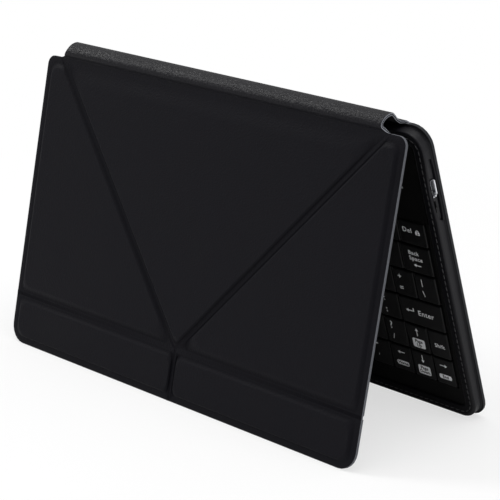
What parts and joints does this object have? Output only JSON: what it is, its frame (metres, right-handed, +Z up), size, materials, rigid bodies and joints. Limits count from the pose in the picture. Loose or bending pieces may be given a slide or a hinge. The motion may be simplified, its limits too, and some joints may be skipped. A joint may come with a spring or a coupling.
{
  "type": "tablet keyboard case",
  "caption": "Folding tablet case standing as a tent: creased leather cover on a spine loop, and a slim keyboard with travelling keys in a stitched tray with a side charging port.",
  "frame": {"origin": "middle of the tent's footprint, on the surface it stands on", "axes": "+X along the spine towards the side with the charging port, +Y from the front cover to the keyboard half, +Z up"},
  "size_m": [0.22, 0.0858, 0.1404],
  "materials": {
    "cover_leather": "fine-grained matt black coated leather",
    "lining": "smooth matt black lining",
    "grey_board": "bare pressed board, hidden",
    "magnet_steel": "plated, hidden",
    "thread": "black polyester thread",
    "case_plastic": "matt black",
    "keycap_plastic": "satin black with white printed legends",
    "clear_film": "printed film, hidden",
    "black_rubber": "matt",
    "circuit_board": "solder mask, hidden",
    "battery_foil": "foil pouch, hidden",
    "bright_steel": "bright tin-plated steel",
    "control_plastic": "black",
    "lamp_lens": "clear lens"
  },
  "bodies": {
    "keyboard_half": {"back_skin": "cover_leather", "back_board": "grey_board", "back_lining": "lining", "tray_wrap": "cover_leather", "tray_core": "grey_board", "tray_magnets": "magnet_steel", "tray_stitching": "thread", "case_base": "case_plastic", "key_frame": "case_plastic", "membrane_sheet": "clear_film", "dome_sheet": "black_rubber", "circuit_board": "circuit_board", "battery": "battery_foil", "usb_shell": "bright_steel", "usb_tongue": "control_plastic", "lamp_lenses": "lamp_lens", "grip_strip": "black_rubber", "case_screws": "bright_steel"},
    "spine": {"spine_skin": "cover_leather", "spine_lining": "lining"},
    "cover_centre": {"centre_skin": "cover_leather", "centre_board": "grey_board", "centre_lining": "lining"},
    "wing_left": {"wing_left_skin": "cover_leather", "wing_left_board": "grey_board", "wing_left_lining": "lining"},
    "wing_right": {"wing_right_skin": "cover_leather", "wing_right_board": "grey_board", "wing_right_lining": "lining"},
    "foot_left": {"foot_left_skin": "cover_leather", "foot_left_board": "grey_board", "foot_left_lining": "lining", "foot_left_magnet": "magnet_steel"},
    "foot_right": {"foot_right_skin": "cover_leather", "foot_right_board": "grey_board", "foot_right_lining": "lining", "foot_right_magnet": "magnet_steel"},
    "keys_function": {"keys_function": "keycap_plastic"},
    "key_delete": {"key_delete": "keycap_plastic"},
    "keys_number": {"keys_number": "keycap_plastic"},
    "key_backspace": {"key_backspace": "keycap_plastic"},
    "key_tab": {"key_tab": "keycap_plastic"},
    "keys_upper": {"keys_upper": "keycap_plastic"},
    "key_caps_lock": {"key_caps_lock": "keycap_plastic"},
    "keys_home": {"keys_home": "keycap_plastic"},
    "key_enter": {"key_enter": "keycap_plastic"},
    "key_shift_left": {"key_shift_left": "keycap_plastic"},
    "keys_lower": {"keys_lower": "keycap_plastic"},
    "key_up": {"key_up": "keycap_plastic"},
    "key_shift_right": {"key_shift_right": "keycap_plastic"},
    "keys_modifier": {"keys_modifier": "keycap_plastic"},
    "key_space": {"key_space": "keycap_plastic"},
    "key_left": {"key_left": "keycap_plastic"},
    "key_down": {"key_down": "keycap_plastic"},
    "key_right": {"key_right": "keycap_plastic"},
    "power_slider": {"power_slider": "control_plastic"},
    "pair_button": {"pair_button": "control_plastic"}
  },
  "joints": [
    {"name": "spine_fold", "type": "hinge", "parent": "keyboard_half", "child": "spine", "pos_m": [0, -0.00148, 0.13526], "axis": [-1, 0, 0], "range_deg": [-12, 130]},
    {"name": "cover_fold", "type": "hinge", "parent": "spine", "child": "cover_centre", "pos_m": [0, -0.01448, 0.13333], "axis": [-1, 0, 0], "range_deg": [-16, 60]},
    {"name": "wing_left_fold", "type": "hinge", "parent": "cover_centre", "child": "wing_left", "pos_m": [0, -0.03759, 0.02272], "axis": [-0.6642, 0.1529, 0.7318], "range_deg": [0, 75]},
    {"name": "wing_right_fold", "type": "hinge", "parent": "cover_centre", "child": "wing_right", "pos_m": [0, -0.03759, 0.02272], "axis": [-0.6642, -0.1529, -0.7318], "range_deg": [0, 75]},
    {"name": "foot_left_fold", "type": "hinge", "parent": "wing_left", "child": "foot_left", "pos_m": [0, -0.03759, 0.02272], "axis": [1, 0, 0], "range_deg": [0, 27]},
    {"name": "foot_right_fold", "type": "hinge", "parent": "wing_right", "child": "foot_right", "pos_m": [0, -0.03759, 0.02272], "axis": [1, 0, 0], "range_deg": [0, 27]},
    {"name": "function_keys_press", "type": "slide", "parent": "keyboard_half", "child": "keys_function", "axis": [0, 0.9505, 0.3107], "range_m": [0, 0.001], "stiffness_N_per_m": 5850},
    {"name": "delete_key_press", "type": "slide", "parent": "keyboard_half", "child": "key_delete", "axis": [0, 0.9505, 0.3107], "range_m": [0, 0.001], "stiffness_N_per_m": 450},
    {"name": "number_keys_press", "type": "slide", "parent": "keyboard_half", "child": "keys_number", "axis": [0, 0.9505, 0.3107], "range_m": [0, 0.001], "stiffness_N_per_m": 5400},
    {"name": "backspace_key_press", "type": "slide", "parent": "keyboard_half", "child": "key_backspace", "axis": [0, 0.9505, 0.3107], "range_m": [0, 0.001], "stiffness_N_per_m": 450},
    {"name": "tab_key_press", "type": "slide", "parent": "keyboard_half", "child": "key_tab", "axis": [0, 0.9505, 0.3107], "range_m": [0, 0.001], "stiffness_N_per_m": 450},
    {"name": "upper_keys_press", "type": "slide", "parent": "keyboard_half", "child": "keys_upper", "axis": [0, 0.9505, 0.3107], "range_m": [0, 0.001], "stiffness_N_per_m": 5400},
    {"name": "caps_lock_key_press", "type": "slide", "parent": "keyboard_half", "child": "key_caps_lock", "axis": [0, 0.9505, 0.3107], "range_m": [0, 0.001], "stiffness_N_per_m": 450},
    {"name": "home_keys_press", "type": "slide", "parent": "keyboard_half", "child": "keys_home", "axis": [0, 0.9505, 0.3107], "range_m": [0, 0.001], "stiffness_N_per_m": 4500},
    {"name": "enter_key_press", "type": "slide", "parent": "keyboard_half", "child": "key_enter", "axis": [0, 0.9505, 0.3107], "range_m": [0, 0.001], "stiffness_N_per_m": 450},
    {"name": "shift_left_key_press", "type": "slide", "parent": "keyboard_half", "child": "key_shift_left", "axis": [0, 0.9505, 0.3107], "range_m": [0, 0.001], "stiffness_N_per_m": 450},
    {"name": "lower_keys_press", "type": "slide", "parent": "keyboard_half", "child": "keys_lower", "axis": [0, 0.9505, 0.3107], "range_m": [0, 0.001], "stiffness_N_per_m": 4500},
    {"name": "up_key_press", "type": "slide", "parent": "keyboard_half", "child": "key_up", "axis": [0, 0.9505, 0.3107], "range_m": [0, 0.001], "stiffness_N_per_m": 450},
    {"name": "shift_right_key_press", "type": "slide", "parent": "keyboard_half", "child": "key_shift_right", "axis": [0, 0.9505, 0.3107], "range_m": [0, 0.001], "stiffness_N_per_m": 450},
    {"name": "modifier_keys_press", "type": "slide", "parent": "keyboard_half", "child": "keys_modifier", "axis": [0, 0.9505, 0.3107], "range_m": [0, 0.001], "stiffness_N_per_m": 3150},
    {"name": "space_key_press", "type": "slide", "parent": "keyboard_half", "child": "key_space", "axis": [0, 0.9505, 0.3107], "range_m": [0, 0.001], "stiffness_N_per_m": 450},
    {"name": "left_key_press", "type": "slide", "parent": "keyboard_half", "child": "key_left", "axis": [0, 0.9505, 0.3107], "range_m": [0, 0.001], "stiffness_N_per_m": 450},
    {"name": "down_key_press", "type": "slide", "parent": "keyboard_half", "child": "key_down", "axis": [0, 0.9505, 0.3107], "range_m": [0, 0.001], "stiffness_N_per_m": 450},
    {"name": "right_key_press", "type": "slide", "parent": "keyboard_half", "child": "key_right", "axis": [0, 0.9505, 0.3107], "range_m": [0, 0.001], "stiffness_N_per_m": 450},
    {"name": "power_slider_slide", "type": "slide", "parent": "keyboard_half", "child": "power_slider", "axis": [0, -0.3107, 0.9505], "range_m": [0, 0.0025]},
    {"name": "pair_button_press", "type": "slide", "parent": "keyboard_half", "child": "pair_button", "axis": [0, 0.9505, 0.3107], "range_m": [0, 0.0004], "stiffness_N_per_m": 1500}
  ],
  "couplings": [
    {"joint": "wing_right_fold", "follows": "wing_left_fold", "ratio": 1},
    {"joint": "foot_left_fold", "follows": "wing_left_fold", "ratio": 0.36},
    {"joint": "foot_right_fold", "follows": "wing_left_fold", "ratio": 0.36}
  ]
}
